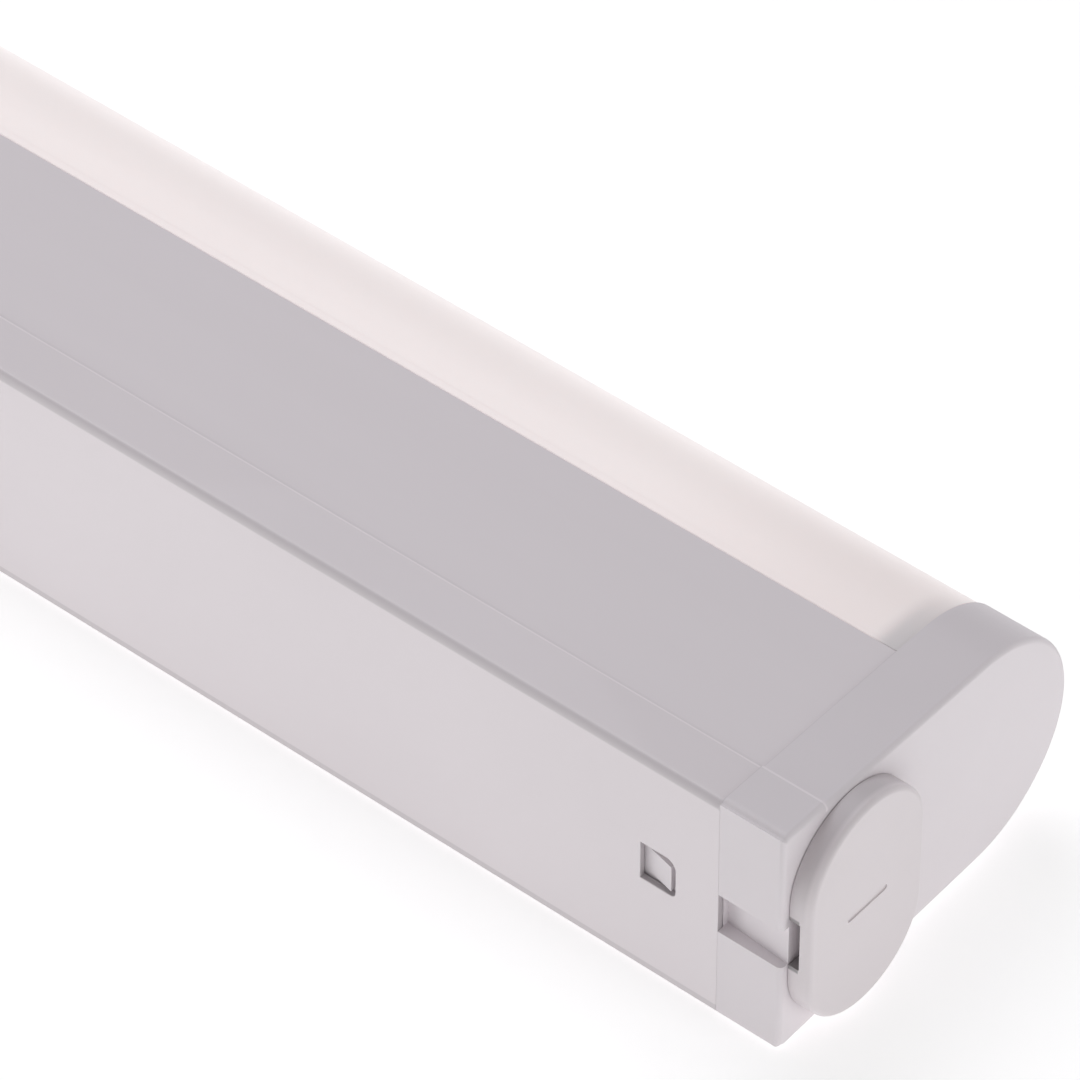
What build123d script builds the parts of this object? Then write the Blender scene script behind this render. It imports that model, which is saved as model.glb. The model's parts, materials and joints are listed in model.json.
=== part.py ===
"""Linkable wall light bar with a flat steel back, an opal nose and plug-in ends.

X runs along the bar, Y points out of the mounting face and Z is up the wall.
The origin is the centre of the mounting face. Depths are measured from that face
into the bar (towards -Y), and heights up or down from mid-height.
"""

import os
from math import cos, radians, sin

from build123d import *

os.makedirs("parts", exist_ok=True)

# ---------------------------------------------------------------- driving sizes
overall_length = 313.0       # over both end caps
overall_depth = 37.0         # mounting face to the crown of the nose
base_height = 24.0           # height of the mounting face
side_draft = 1.2             # degrees that each side leans in towards the nose

# steel base channel
sheet = 0.6
bend_radius = 0.7
flange_depth = 5.3
lip_height = 0.35
lip_width = 0.6

# lamp body extrusion
body_step = 0.25             # body surface below the flange surface
body_wall = 1.4
body_front = 22.4            # depth of the body's front edge
web_depth = 19.8
web_thickness = 1.2

# diffuser
diffuser_wall = 1.2
diffuser_shoulder = 1.0      # depth of the thick edge along the body
leg_thickness = 0.8
leg_length = 1.3
bead_height = 0.25
bead_width = 0.5

# end caps
cap_length = 6.4
cap_proud = 0.2
cap_wall = 3.0
cap_back_wall = 2.4
cap_end_wall = 1.8
cap_edge_radius = 0.5
cap_corner_radius = 0.9
spigot_length = 4.0
spigot_wall = 1.2
spigot_back = 2.7            # depth of the side spigots' back edge
tongue_width = 9.0
tongue_thickness = 1.2
tongue_reach = 2.0           # tongue beyond the far side of the window
barb_height = 2.75
barb_sink = 0.12             # barb's crest below the mounting face
barb_lead = 0.55             # window's far side to the foot of the barb's ramp

# snap window in the channel and pry pocket in the cap
window_length = 3.6
window_height = 4.1
window_inset = 6.1           # window centre from the channel's end
window_rise = 0.3            # window centre above mid-height
window_upper_corner = 1.1
window_lower_corner = 0.5
pocket_height = 4.25
pocket_drop = 0.45            # pocket centre below mid-height
pocket_depth = 1.3
pocket_shallow = 0.85        # depth where it runs out at the end face

# plug recess, the same at both ends
socket_depth = 8.0           # depth of the recess's centre line
recess_width = 10.4
recess_height = 15.4
recess_floor = 6.0           # below the end face
collar_wall = 1.2
collar_end = 10.0            # inner end of the collar, from the end face
block_length = 5.0
block_flange = 1.5
block_flange_rim = 0.7
pin_radius = 0.9
pin_pitch = 4.5
pin_recess = 2.0             # pin tips below the end face
earth_lead = 0.5             # extra reach of the earth pin
tail_end = 16.0              # wire end of pins and contacts, from the end face
contact_radius = 1.3
contact_recess = 0.5         # contacts below the socket block's face

# blanking cover
cover_width = 14.4
cover_height = 22.6
cover_thickness = 2.2
cover_edge_radius = 0.5
skirt_length = 4.5
skirt_wall = 1.0
pry_slot_height = 5.2
pry_slot_width = 1.05
pry_slot_reach = 4.2
mark_length = 5.0
mark_width = 0.6
mark_engraving = 0.15

# keyholes for two wall screws
keyhole_spacing = 100.0
keyhole_head_radius = 4.25
keyhole_slot_width = 4.5
keyhole_travel = 7.0

# insulating tray and driver board
tray_length = 132.0
tray_wall = 0.8
tray_height = 12.0
screw_head_room = 3.8        # free space behind the tray for the wall screws' heads
board_standoff = 2.8
board_length = 116.0
board_thickness = 1.2
ledge_width = 1.4
boss_radius = 2.6
board_screw_inset = 4.0
board_screw_radius = 1.1
board_screw_head_radius = 2.0
board_screw_head = 1.6
board_screw_length = 2.2
board_screw_slot = 0.5

# driver components, with their places along the board and (x, z, height) sizes
terminal_x = 41.5
terminal_size = (11.0, 15.0, 7.6)
terminal_screw_radius = 1.4
terminal_screw_head = 0.5
terminal_screw_slot = (2.2, 0.4, 0.3)
header_x = -42.0
header_size = (8.0, 9.0, 5.2)
fuse_x = 28.5
fuse_size = (4.3, 8.4, 5.0)
fuse_edge = 0.6
suppression_x = 19.0
suppression_size = (9.0, 12.0, 7.2)
suppression_edge = 0.8
bridge_x = 10.0
bridge_size = (4.7, 6.4, 2.5)
chip_x = -13.5
chip_offset = 4.0            # chip and diode either side of mid-height
chip_size = (4.9, 5.8, 1.6)
diode_size = (4.3, 2.8, 2.2)
package_edge = 0.25
bulk_x = -1.5
bulk_radius = 3.9
bulk_length = 14.0
output_capacitor_x = -32.5
output_capacitor_radius = 3.1
output_capacitor_height = 7.4
can_edge_radius = 0.5
choke_x = -22.5
choke_radius = 4.4
choke_waist = 2.0
choke_height = 7.4
choke_flange = 1.2
winding_recess = 0.4
block_chamfer = 0.3

# light source
led_board_width = 14.0
led_board_thickness = 1.0
led_board_end_gap = 2.0
rail_wall = 0.8
rail_lip = 0.7
led_pitch = 9.0
led_size = (2.8, 3.5, 0.7)
led_end_margin = 6.0
lead_hole_length = 4.0
lead_hole_height = 6.8
lead_hole_bay = 8            # LED spaces from the middle to the lead hole
led_connector_size = (5.4, 8.0, 2.4)

# wiring
mains_wire_radius = 0.9
led_wire_radius = 0.6
wire_bend = 4.0
wire_lane_gap = 0.5          # between the link wires and the web
wire_socket = 2.0            # depth that a wire end reaches into a terminal
supply_wire_rise = 3.0       # above the driver board
link_wire_rise = 6.3
led_wire_rise = 3.0
led_wire_height = 2.2
tail_run = 6.0               # straight run off the pins and contacts
terminal_run = 4.0
climb = 12.0                 # length over which a wire changes depth

# earth bond
earth_from_end = 56.0
earth_nut_radius = 3.2
earth_nut_height = 2.0
earth_nut_shank_radius = 2.2
tag_radius = 3.4
tag_thickness = 0.6
tag_barrel_length = 5.0
tag_barrel_radius = 1.2
earth_screw_radius = 1.5
earth_screw_head_radius = 3.0
earth_screw_head = 2.0
earth_screw_cross = (3.4, 0.8)
washer_margin = 0.2
washer_teeth = 10
washer_notch = (0.7, 0.5)
earth_screw_tip_gap = 0.2    # blind end of the nut's thread, inside the sheet

# clearances
cap_gap = 0.02               # between a cap's rim and the channel's end
slide_gap = 0.1              # between parts that slide together lengthways
spigot_gap = 0.15
junction_gap = 0.04          # between the body's edge and the diffuser's
skirt_gap = 0.3
cover_gap = 0.05
barb_gap = 0.5               # between the barb and the window's near side
tray_gap = 0.2
weld = 0.5                   # overlap that joins a feature to its neighbour

# ---------------------------------------------------------------- derived sizes
draft = radians(side_draft)
nose_radius = (base_height / 2 * cos(draft) - overall_depth * sin(draft)) / (1 - sin(draft))
nose_depth = overall_depth - nose_radius
half_length = overall_length / 2
shell_half = half_length - cap_length - cap_gap
body_back = sheet + slide_gap
body_inset = body_step + body_wall
under_flange = sheet + slide_gap
web_front = web_depth + web_thickness
led_board_front = web_front + led_board_thickness
window_centre = shell_half - window_inset
tray_floor = sheet + screw_head_room
board_back = tray_floor + tray_wall + board_standoff
board_front = board_back + board_thickness
wire_lane = web_depth - wire_lane_gap - mains_wire_radius
tail_x = half_length - tail_end
tongue_back = sheet + slide_gap
tongue_front = tongue_back + tongue_thickness
supply_wire_depth = board_front + supply_wire_rise
link_wire_depth = board_front + link_wire_rise
led_wire_depth = board_front + led_wire_rise


def side(inset, depth):
    """Height of a bar side, moved inwards by inset, at a depth from the mounting face."""
    return (nose_radius - inset + (nose_depth - depth) * sin(draft)) / cos(draft)


def end_plane(end, inward=0.0):
    """Cross-section plane below the end face of one end (+1 or -1), facing outwards."""
    return Plane(
        origin=(end * (half_length - inward), 0, 0), x_dir=(0, 1, 0), z_dir=(end, 0, 0)
    )


def bullet(plane, inset, back):
    """Face with a straight back at a depth, leaning sides and a round nose."""
    shoulder = nose_depth + (nose_radius - inset) * sin(draft)
    height = (nose_radius - inset) * cos(draft)
    crown = nose_depth + nose_radius - inset
    with BuildSketch(plane) as face:
        with BuildLine():
            Polyline(
                (-shoulder, -height),
                (0, -side(inset, 0)),
                (0, side(inset, 0)),
                (-shoulder, height),
            )
            ThreePointArc((-shoulder, height), (-crown, 0), (-shoulder, -height))
        make_face()
        with Locations((-back, 0)):
            Rectangle(
                overall_depth,
                2 * base_height,
                align=(Align.MIN, Align.CENTER),
                mode=Mode.SUBTRACT,
            )
    return face.sketch


def half_profile(*points):
    """Add a closed outline of (depth, height) points, and its mirror image, to the sketch."""
    upper = [(-depth, height) for depth, height in points]
    lower = [(y, -z) for y, z in reversed(upper)]
    Polygon(*upper, align=None)
    Polygon(*lower, align=None)


def whole_profile(*points):
    """Add the outline that runs through (depth, height) points and back through their mirror."""
    upper = [(-depth, height) for depth, height in points]
    lower = [(y, -z) for y, z in reversed(upper)]
    Polygon(*upper, *lower, align=None)


def save(builder, name):
    """Label a finished piece and write it to its own file."""
    builder.part.label = name
    export_step(builder.part, f"parts/{name}.step")


# ---------------------------------------------------------------- base channel
lip_inset = sheet + lip_height
lip_start = flange_depth - lip_width
with BuildPart() as base_channel:
    with BuildSketch(Plane.YZ.offset(-shell_half)) as channel_profile:
        whole_profile(
            (sheet, side(sheet, sheet)),
            (lip_start, side(sheet, lip_start)),
            (lip_start, side(lip_inset, lip_start)),
            (flange_depth, side(lip_inset, flange_depth)),
            (flange_depth, side(0, flange_depth)),
            (0, side(0, 0)),
        )
        whole_profile((0, side(0, 0)), (sheet, side(sheet, sheet)))
        fillet(channel_profile.vertices().group_by(Axis.Y)[-1], bend_radius)
    extrude(amount=2 * shell_half)
    for end in (-1, 1):
        with BuildSketch(Plane.XZ) as window:
            with Locations((end * window_centre, window_rise)):
                Rectangle(window_length, window_height)
            near_corners = window.vertices().sort_by(Axis.X, reverse=end > 0)[:2]
            fillet(near_corners.sort_by(Axis.Y)[1], window_upper_corner)
            near_corners = window.vertices().sort_by(Axis.X, reverse=end > 0)[:3]
            fillet(near_corners.sort_by(Axis.Y)[0], window_lower_corner)
        extrude(amount=sheet, mode=Mode.SUBTRACT)
    with BuildSketch(Plane.XZ):
        with Locations(*[(end * keyhole_spacing / 2, 0) for end in (-1, 1)]):
            Circle(keyhole_head_radius)
            with Locations((keyhole_travel / 2, 0)):
                SlotCenterToCenter(keyhole_travel, keyhole_slot_width)
    extrude(amount=sheet, mode=Mode.SUBTRACT)
    with BuildSketch(Plane.XZ):
        with Locations((half_length - earth_from_end, 0)):
            Circle(earth_nut_shank_radius)
    extrude(amount=sheet, mode=Mode.SUBTRACT)
save(base_channel, "base_channel")

# ---------------------------------------------------------------- lamp body
groove_inset = lip_inset + slide_gap
groove_start = lip_start - slide_gap
step_depth = flange_depth + slide_gap
bead_end = body_front - leg_length + bead_width + slide_gap
bead_start = bead_end - bead_width - 2 * slide_gap
bead_inset = body_inset - bead_height
rail_inner = led_board_width / 2 + slide_gap
rail_outer = rail_inner + rail_wall
rail_under = led_board_front + slide_gap
rail_top = rail_under + rail_wall
lead_hole_x = -lead_hole_bay * led_pitch
with BuildPart() as lamp_body:
    with BuildSketch(Plane.YZ.offset(-shell_half)):
        half_profile(
            (body_back, side(under_flange, body_back)),
            (body_back, side(body_inset, body_back)),
            (bead_start, side(body_inset, bead_start)),
            (bead_start, side(bead_inset, bead_start)),
            (bead_end, side(bead_inset, bead_end)),
            (bead_end, side(body_inset, bead_end)),
            (body_front, side(body_inset, body_front)),
            (body_front, side(body_step, body_front)),
            (step_depth, side(body_step, step_depth)),
            (step_depth, side(groove_inset, step_depth)),
            (groove_start, side(groove_inset, groove_start)),
            (groove_start, side(under_flange, groove_start)),
        )
        whole_profile(
            (web_depth, side(body_inset - weld, web_depth)),
            (web_front, side(body_inset - weld, web_front)),
        )
        half_profile(
            (web_front, rail_outer),
            (rail_top, rail_outer),
            (rail_top, rail_inner - rail_lip),
            (rail_under, rail_inner - rail_lip),
            (rail_under, rail_inner),
            (web_front, rail_inner),
        )
    extrude(amount=2 * shell_half)
    with BuildSketch(Plane.XZ.offset(web_depth)):
        with Locations((lead_hole_x, 0)):
            Rectangle(lead_hole_length, lead_hole_height)
    extrude(amount=web_thickness, mode=Mode.SUBTRACT)
save(lamp_body, "lamp_body")

# ---------------------------------------------------------------- diffuser
diffuser_back = body_front + junction_gap
diffuser_inset = body_step + diffuser_wall
leg_outer = body_inset + slide_gap
leg_inner = leg_outer + leg_thickness
leg_back = body_front - leg_length
bead_front = leg_back + bead_width
shoulder_front = diffuser_back + diffuser_shoulder
diffuser_plane = Plane.YZ.offset(-shell_half)
with BuildPart() as diffuser:
    extrude(bullet(diffuser_plane, body_step, diffuser_back), amount=2 * shell_half)
    extrude(
        bullet(diffuser_plane, diffuser_inset, diffuser_back),
        amount=2 * shell_half,
        mode=Mode.SUBTRACT,
    )
    with BuildSketch(diffuser_plane):
        half_profile(
            (leg_back, side(leg_inner, leg_back)),
            (shoulder_front, side(leg_inner, shoulder_front)),
            (shoulder_front, side(body_step + slide_gap, shoulder_front)),
            (diffuser_back, side(body_step + slide_gap, diffuser_back)),
            (diffuser_back, side(leg_outer, diffuser_back)),
            (bead_front, side(leg_outer, bead_front)),
            (bead_front, side(leg_outer - bead_height, bead_front)),
            (leg_back, side(leg_outer - bead_height, leg_back)),
        )
    extrude(amount=2 * shell_half)
save(diffuser, "diffuser")


# ---------------------------------------------------------------- end caps
def recess(plane, margin):
    """Obround face of the plug recess, larger all round by margin."""
    with BuildSketch(plane) as face:
        with Locations((-socket_depth, 0)):
            SlotOverall(recess_height + 2 * margin, recess_width + 2 * margin, rotation=90)
    return face.sketch


def end_cap(end):
    """Moulded cap of one end: rim, spigot, plug collar and a tongue with a snap barb."""
    end_axis = Axis((0, 0, 0), (end, 0, 0))
    joint = end_plane(end, cap_length)
    body_line = body_step - cap_proud
    with BuildPart() as nose_block:
        extrude(bullet(joint, body_line, 0), amount=cap_length)
        fillet(nose_block.faces().sort_by(end_axis)[-1].edges(), cap_edge_radius)
    with BuildPart() as band_block:
        with BuildSketch(joint):
            whole_profile(
                (0, side(-cap_proud, 0)), (flange_depth, side(-cap_proud, flange_depth))
            )
        extrude(amount=cap_length)
        back_edges = band_block.edges().filter_by(Axis.X).group_by(Axis.Y)[-1]
        fillet(back_edges, cap_corner_radius)
        end_edges = band_block.faces().sort_by(end_axis)[-1].edges()
        fillet(end_edges.sort_by(Axis.Y)[1:], cap_edge_radius)

    spigot_inset = body_inset + spigot_gap
    spigot_inner = spigot_inset + spigot_wall
    nose_spigot_back = shoulder_front + spigot_gap
    collar_depth = collar_end - cap_end_wall
    window_far = half_length - window_centre + window_length / 2
    window_near = window_far - window_length
    tongue_end = window_far + tongue_reach
    with BuildPart() as cap:
        add(nose_block.part)
        add(band_block.part)
        extrude(
            bullet(joint, cap_wall, cap_back_wall),
            amount=cap_length - cap_end_wall,
            mode=Mode.SUBTRACT,
        )
        # spigots that plug into the nose and the body
        spigot_plane = end_plane(end, cap_length + spigot_length)
        with BuildSketch(spigot_plane):
            add(bullet(Plane.XY, spigot_inset, nose_spigot_back))
            add(bullet(Plane.XY, spigot_inner, nose_spigot_back - weld), mode=Mode.SUBTRACT)
            half_profile(
                (spigot_back, side(spigot_inner, spigot_back)),
                (web_depth - spigot_gap, side(spigot_inner, web_depth - spigot_gap)),
                (web_depth - spigot_gap, side(spigot_inset, web_depth - spigot_gap)),
                (spigot_back, side(spigot_inset, spigot_back)),
            )
        extrude(amount=spigot_length + weld)
        # collar round the plug recess
        extrude(recess(end_plane(end, collar_end), collar_wall), amount=collar_depth + weld)
        extrude(
            recess(end_plane(end, collar_end), 0), amount=collar_end, mode=Mode.SUBTRACT
        )
        # springy tongue behind the channel's back, with its barb in the window
        with BuildSketch(end_plane(end, tongue_end)):
            with Locations((-tongue_back - tongue_thickness / 2, 0)):
                Rectangle(tongue_thickness, tongue_width)
        extrude(amount=tongue_end - cap_length + weld)
        with BuildSketch(Plane.XY):
            Polygon(
                (end * (half_length - window_far + barb_lead), -tongue_back),
                (end * (half_length - window_near - barb_gap), -barb_sink),
                (end * (half_length - window_near - barb_gap), -tongue_back - weld),
                (end * (half_length - window_far + barb_lead), -tongue_back - weld),
                align=None,
            )
        extrude(amount=barb_height / 2, both=True)
        # pry pocket that shallows towards the end
        with BuildSketch(Plane.XY.offset(-pocket_drop)):
            Polygon(
                (end * (half_length - cap_length), weld),
                (end * (half_length - cap_length), -pocket_depth),
                (end * half_length, -pocket_shallow),
                (end * half_length, weld),
                align=None,
            )
        extrude(amount=pocket_height / 2, both=True, mode=Mode.SUBTRACT)
    return cap


cover_end = -1
end_cap_outlet = end_cap(cover_end)
save(end_cap_outlet, "end_cap_outlet")
end_cap_inlet = end_cap(-cover_end)
save(end_cap_inlet, "end_cap_inlet")

# ---------------------------------------------------------------- blanking cover
with BuildPart() as blanking_cover:
    with BuildSketch(end_plane(cover_end, -cover_gap)):
        with Locations((-socket_depth, 0)):
            SlotOverall(cover_height, cover_width, rotation=90)
    extrude(amount=cover_thickness)
    front_face = blanking_cover.faces().sort_by(Axis.X)[0]
    fillet(front_face.edges(), cover_edge_radius)
    extrude(
        recess(end_plane(cover_end, skirt_length), -skirt_gap),
        amount=skirt_length + cover_gap,
    )
    extrude(
        recess(end_plane(cover_end, skirt_length), -skirt_gap - skirt_wall),
        amount=skirt_length + cover_gap,
        mode=Mode.SUBTRACT,
    )
    # pry slot under the rim, on the side of the mounting face
    with BuildSketch(end_plane(cover_end, -cover_gap)):
        with Locations((cover_width / 2 - socket_depth - pry_slot_reach, 0)):
            Rectangle(
                2 * pry_slot_reach, pry_slot_height, align=(Align.MIN, Align.CENTER)
            )
    extrude(amount=pry_slot_width, mode=Mode.SUBTRACT)
    # plain moulded bar mark
    mark_floor = end_plane(cover_end, mark_engraving - cover_gap - cover_thickness)
    with BuildSketch(mark_floor):
        with Locations((-socket_depth, 0)):
            SlotOverall(mark_length, mark_width)
    extrude(amount=mark_engraving, mode=Mode.SUBTRACT)
save(blanking_cover, "blanking_cover")


# ---------------------------------------------------------------- socket and pin blocks
def pin_sites():
    """Centres of the three pins in a cross-section plane."""
    return [(-socket_depth, row * pin_pitch) for row in (-1, 0, 1)]


def connector_block(end, hole_radius):
    """Insulating block in the collar, with three holes right through it."""
    block_end = recess_floor + block_length
    with BuildPart() as block:
        extrude(recess(end_plane(end, block_end), -slide_gap), amount=block_length)
        # the flange is cut flat in front of the cap's tongue
        with BuildSketch(end_plane(end, collar_end + slide_gap + block_flange)):
            add(recess(Plane.XY, block_flange_rim))
            with Locations((-tongue_front - slide_gap, 0)):
                Rectangle(
                    overall_depth,
                    base_height,
                    align=(Align.MIN, Align.CENTER),
                    mode=Mode.SUBTRACT,
                )
        extrude(amount=block_flange)
        with BuildSketch(end_plane(end, block_end + block_flange)):
            with Locations(*pin_sites()):
                Circle(hole_radius)
        extrude(amount=block_length + block_flange, mode=Mode.SUBTRACT)
    return block


outlet_socket = connector_block(-1, contact_radius)
save(outlet_socket, "outlet_socket")
inlet_pin_block = connector_block(1, pin_radius)
save(inlet_pin_block, "inlet_pin_block")

with BuildPart() as outlet_contacts:
    contact_length = tail_end - recess_floor - contact_recess
    with BuildSketch(end_plane(-1, tail_end)):
        with Locations(*pin_sites()):
            Circle(contact_radius)
    extrude(amount=contact_length)
    with BuildSketch(end_plane(-1, recess_floor + block_length)):
        with Locations(*pin_sites()):
            Circle(pin_radius + slide_gap / 2)
    extrude(amount=block_length, mode=Mode.SUBTRACT)
save(outlet_contacts, "outlet_contacts")

with BuildPart() as inlet_pins:
    with BuildSketch(end_plane(1, tail_end)):
        with Locations(*pin_sites()[::2]):
            Circle(pin_radius)
    extrude(amount=tail_end - pin_recess)
    with BuildSketch(end_plane(1, tail_end)):
        with Locations(pin_sites()[1]):
            Circle(pin_radius)
    extrude(amount=tail_end - pin_recess + earth_lead)
    pin_tips = inlet_pins.faces().filter_by(Axis.X).sort_by(Axis.X)[-3:]
    fillet(pin_tips.edges(), pin_radius / 2)
save(inlet_pins, "inlet_pins")

# ---------------------------------------------------------------- driver tray
tray_outer = side(body_inset + tray_gap, tray_height)
tray_inner = tray_outer - tray_wall
tray_back = body_back
board_screw_x = board_length / 2 - board_screw_inset
with BuildPart() as driver_tray:
    with BuildSketch(Plane.YZ.offset(-tray_length / 2)):
        half_profile(
            (tray_back, tray_outer),
            (tray_back, tray_inner),
            (tray_height, tray_inner),
            (tray_height, tray_outer),
        )
        whole_profile(
            (tray_floor, tray_inner + tray_wall / 2),
            (tray_floor + tray_wall, tray_inner + tray_wall / 2),
        )
        half_profile(
            (board_back - tray_wall, tray_inner + tray_wall / 2),
            (board_back - tray_wall, tray_inner - ledge_width),
            (board_back, tray_inner - ledge_width),
            (board_back, tray_inner + tray_wall / 2),
        )
    extrude(amount=tray_length)
    with BuildSketch(Plane.XZ.offset(tray_floor + tray_wall / 2)):
        with Locations((-board_screw_x, 0), (board_screw_x, 0)):
            Circle(boss_radius)
    extrude(amount=board_back - tray_floor - tray_wall / 2)
    with BuildSketch(Plane.XZ.offset(board_back)):
        with Locations((-board_screw_x, 0), (board_screw_x, 0)):
            Circle(board_screw_radius)
    extrude(amount=-board_screw_length, mode=Mode.SUBTRACT)
save(driver_tray, "driver_tray")

with BuildPart() as driver_board:
    with BuildSketch(Plane.XZ.offset(board_back)):
        Rectangle(board_length, 2 * (tray_inner - tray_gap))
        with Locations((-board_screw_x, 0), (board_screw_x, 0)):
            Circle(board_screw_radius, mode=Mode.SUBTRACT)
    extrude(amount=board_thickness)
save(driver_board, "driver_board")

with BuildPart() as board_screws:
    with BuildSketch(Plane.XZ.offset(board_front)):
        with Locations((-board_screw_x, 0), (board_screw_x, 0)):
            Circle(board_screw_head_radius)
    extrude(amount=board_screw_head)
    fillet(board_screws.faces().sort_by(Axis.Y)[:2].edges(), board_screw_head / 3)
    with BuildSketch(Plane.XZ.offset(board_front - board_thickness - board_screw_length)):
        with Locations((-board_screw_x, 0), (board_screw_x, 0)):
            Circle(board_screw_radius)
    extrude(amount=board_thickness + board_screw_length)
    with BuildSketch(Plane.XZ.offset(board_front + board_screw_head)):
        with Locations((-board_screw_x, 0), (board_screw_x, 0)):
            Rectangle(2 * board_screw_radius, board_screw_slot)
            Rectangle(board_screw_slot, 2 * board_screw_radius)
    extrude(amount=-board_screw_head / 2, mode=Mode.SUBTRACT)
save(board_screws, "board_screws")

# ---------------------------------------------------------------- driver components
with BuildPart() as mains_terminal:
    with BuildSketch(Plane.XZ.offset(board_front)):
        with Locations((terminal_x, 0)):
            Rectangle(terminal_size[0], terminal_size[1])
    extrude(amount=terminal_size[2])
    chamfer(mains_terminal.faces().sort_by(Axis.Y)[0].edges(), block_chamfer)
    for row in (-1, 1):
        for face_side, depth in ((1, supply_wire_depth), (-1, link_wire_depth)):
            mouth = Plane(
                origin=(terminal_x + face_side * terminal_size[0] / 2, 0, 0),
                x_dir=(0, 1, 0),
                z_dir=(face_side, 0, 0),
            )
            with BuildSketch(mouth):
                with Locations((-depth, row * pin_pitch)):
                    Circle(mains_wire_radius)
            extrude(amount=-wire_socket, mode=Mode.SUBTRACT)
save(mains_terminal, "mains_terminal")

with BuildPart() as terminal_screws:
    with BuildSketch(Plane.XZ.offset(board_front + terminal_size[2])):
        with Locations((terminal_x, 0)):
            with GridLocations(terminal_size[0] / 2, 2 * pin_pitch, 2, 2):
                Circle(terminal_screw_radius)
    extrude(amount=terminal_screw_head)
    with BuildSketch(Plane.XZ.offset(board_front + terminal_size[2] + terminal_screw_head)):
        with Locations((terminal_x, 0)):
            with GridLocations(terminal_size[0] / 2, 2 * pin_pitch, 2, 2):
                Rectangle(terminal_screw_slot[0], terminal_screw_slot[1])
    extrude(amount=-terminal_screw_slot[2], mode=Mode.SUBTRACT)
save(terminal_screws, "terminal_screws")

with BuildPart() as led_header:
    with BuildSketch(Plane.XZ.offset(board_front)):
        with Locations((header_x, 0)):
            Rectangle(header_size[0], header_size[1])
    extrude(amount=header_size[2])
    chamfer(led_header.faces().sort_by(Axis.Y)[0].edges(), block_chamfer)
    with BuildSketch(Plane.YZ.offset(header_x - header_size[0] / 2)):
        with Locations((-led_wire_depth, led_wire_height), (-led_wire_depth, -led_wire_height)):
            Circle(led_wire_radius)
    extrude(amount=wire_socket, mode=Mode.SUBTRACT)
save(led_header, "led_header")


def moulded_block(x, z, size, edge_radius):
    """Component with a rounded box body standing on the driver board."""
    with BuildPart() as block:
        with BuildSketch(Plane.XZ.offset(board_front)):
            with Locations((x, z)):
                Rectangle(size[0], size[1])
        extrude(amount=size[2])
        fillet(block.edges().filter_by(Axis.Y), edge_radius)
        fillet(block.faces().sort_by(Axis.Y)[0].edges(), edge_radius)
    return block


fuse = moulded_block(fuse_x, 0, fuse_size, fuse_edge)
save(fuse, "fuse")
suppression_capacitor = moulded_block(suppression_x, 0, suppression_size, suppression_edge)
save(suppression_capacitor, "suppression_capacitor")
bridge_rectifier = moulded_block(bridge_x, 0, bridge_size, package_edge)
save(bridge_rectifier, "bridge_rectifier")
driver_chip = moulded_block(chip_x, chip_offset, chip_size, package_edge)
save(driver_chip, "driver_chip")
output_diode = moulded_block(chip_x, -chip_offset, diode_size, package_edge)
save(output_diode, "output_diode")

with BuildPart() as bulk_capacitor:
    with BuildSketch(Plane.YZ.offset(bulk_x - bulk_length / 2)):
        with Locations((-board_front - bulk_radius, 0)):
            Circle(bulk_radius)
    extrude(amount=bulk_length)
    fillet(bulk_capacitor.edges().filter_by(GeomType.CIRCLE), can_edge_radius)
save(bulk_capacitor, "bulk_capacitor")

with BuildPart() as output_capacitor:
    with BuildSketch(Plane.XZ.offset(board_front)):
        with Locations((output_capacitor_x, 0)):
            Circle(output_capacitor_radius)
    extrude(amount=output_capacitor_height)
    fillet(output_capacitor.faces().sort_by(Axis.Y)[0].edges(), can_edge_radius)
save(output_capacitor, "output_capacitor")

with BuildPart() as choke_core:
    with BuildSketch(Plane.XZ.offset(board_front)):
        with Locations((choke_x, 0)):
            Circle(choke_radius)
    extrude(amount=choke_height)
    with BuildSketch(Plane.XZ.offset(board_front + choke_flange)):
        with Locations((choke_x, 0)):
            Circle(choke_radius)
            Circle(choke_waist, mode=Mode.SUBTRACT)
    extrude(amount=choke_height - 2 * choke_flange, mode=Mode.SUBTRACT)
save(choke_core, "choke_core")

with BuildPart() as choke_winding:
    with BuildSketch(Plane.XZ.offset(board_front + choke_flange)):
        with Locations((choke_x, 0)):
            Circle(choke_radius - winding_recess)
            Circle(choke_waist, mode=Mode.SUBTRACT)
    extrude(amount=choke_height - 2 * choke_flange)
save(choke_winding, "choke_winding")

# ---------------------------------------------------------------- light source
led_board_length = 2 * (shell_half - led_board_end_gap)
leds_per_side = int((led_board_length / 2 - led_end_margin) / led_pitch + 0.5)
led_sites = [
    (side_sign * (row + 0.5) * led_pitch, 0)
    for side_sign in (-1, 1)
    for row in range(leds_per_side)
]

with BuildPart() as led_board:
    with BuildSketch(Plane.XZ.offset(web_front)):
        Rectangle(led_board_length, led_board_width)
        with Locations((lead_hole_x, 0)):
            Rectangle(lead_hole_length, lead_hole_height, mode=Mode.SUBTRACT)
    extrude(amount=led_board_thickness)
save(led_board, "led_board")

with BuildPart() as led_packages:
    with BuildSketch(Plane.XZ.offset(led_board_front)):
        with Locations(*led_sites):
            Rectangle(led_size[0], led_size[1])
    extrude(amount=led_size[2])
save(led_packages, "led_packages")

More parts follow.
